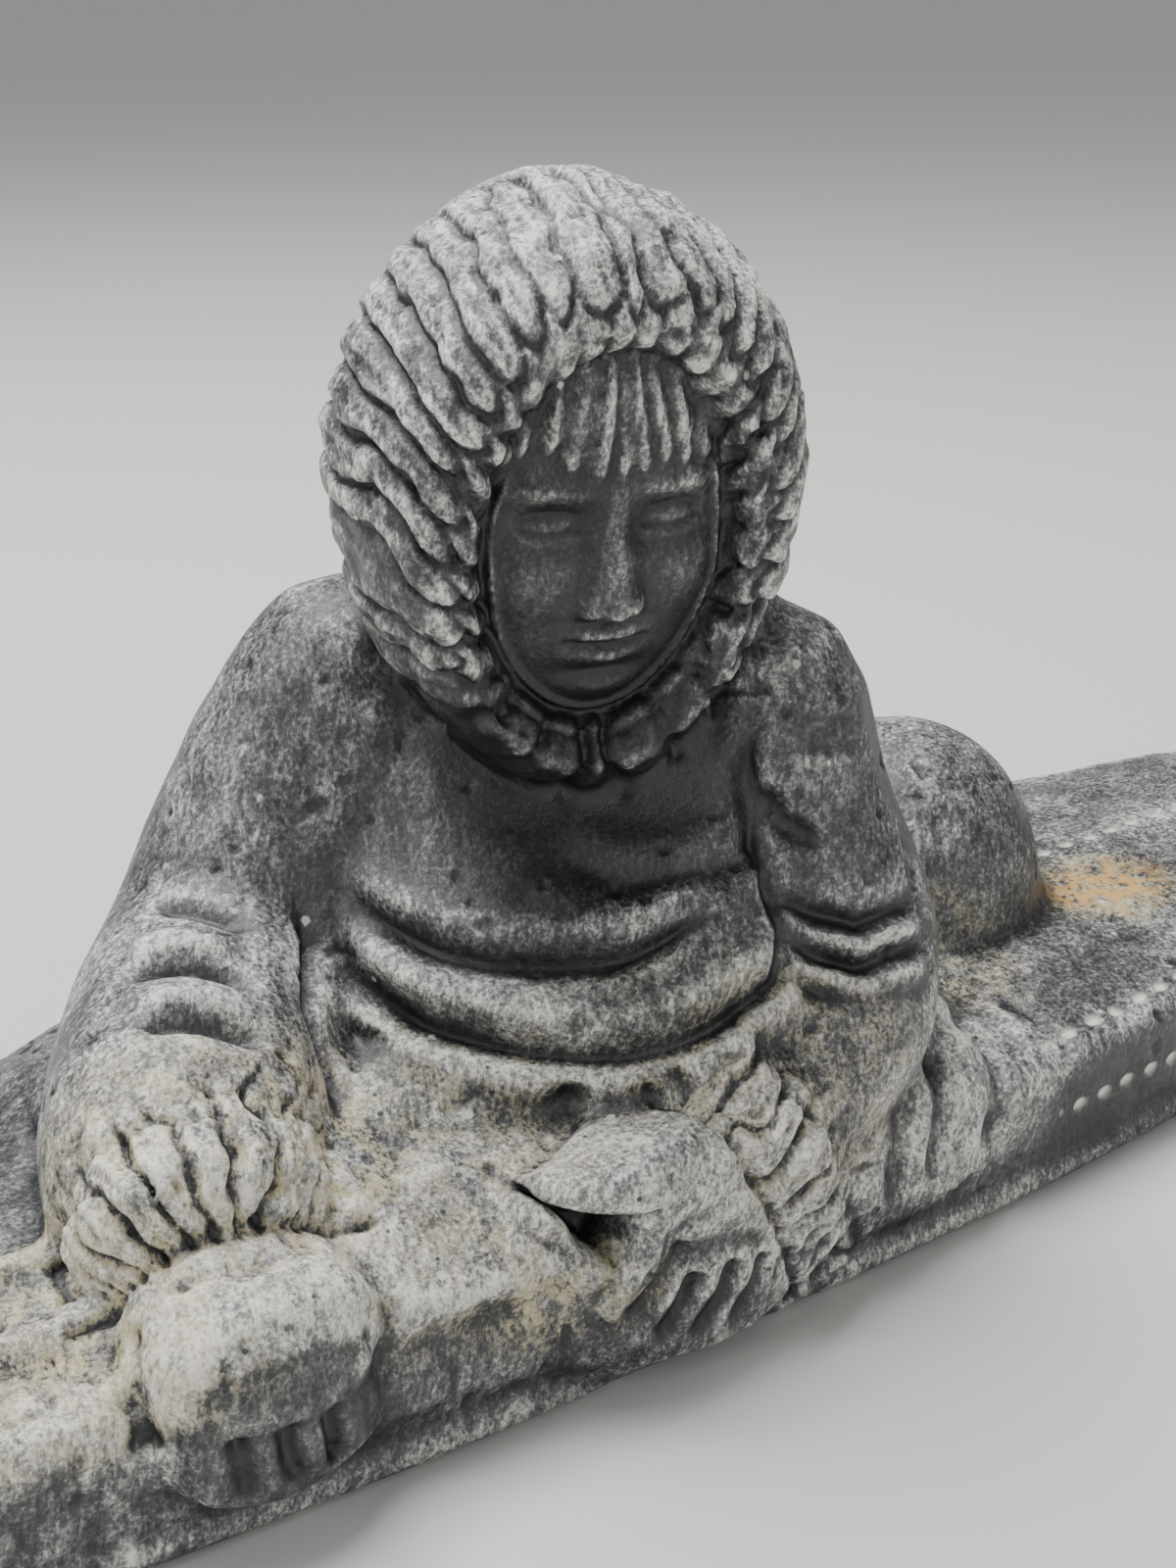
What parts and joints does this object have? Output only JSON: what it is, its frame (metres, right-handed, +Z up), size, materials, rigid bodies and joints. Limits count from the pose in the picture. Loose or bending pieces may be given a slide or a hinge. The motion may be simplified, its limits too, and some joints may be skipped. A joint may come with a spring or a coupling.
{
  "type": "soapstone hunter sculpture",
  "caption": "Carved dark soapstone hunter in a fur-ruffed parka, sitting in a kayak and holding its near gunwale, with a rounded float on the rear deck.",
  "frame": {"origin": "on the kayak's flat keel, midway along its length and across its beam", "axes": "+X along the kayak towards its stern, -Y towards the gunwale that the hunter holds, +Z up"},
  "size_m": [0.41, 0.0886, 0.1247],
  "materials": {
    "soapstone": "satin"
  },
  "bodies": {
    "root": {"hunter_in_kayak": "soapstone"}
  },
  "joints": []
}
